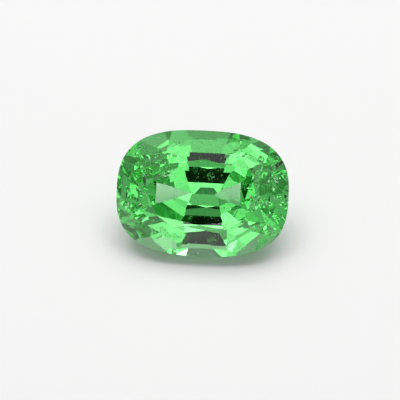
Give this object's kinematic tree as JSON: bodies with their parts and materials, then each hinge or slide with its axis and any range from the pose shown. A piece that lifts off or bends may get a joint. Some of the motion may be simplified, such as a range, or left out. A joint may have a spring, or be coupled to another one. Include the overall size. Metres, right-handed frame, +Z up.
{
  "type": "cushion cut tsavorite garnet",
  "caption": "Loose green garnet, cushion outline, brilliant crown and stepped pavilion, lying on a lower facet with its table turned up.",
  "frame": {"origin": "middle of the space the stone covers, on the surface it lies on", "axes": "+Z up from the surface, +X along the stone's length, -Y the side that the table is turned to"},
  "size_m": [0.0082, 0.0048, 0.0047],
  "materials": {
    "garnet": "polished clear green crystal, refractive index 1.74, with a few small inclusions"
  },
  "bodies": {
    "root": {"tsavorite": "garnet"}
  },
  "joints": []
}
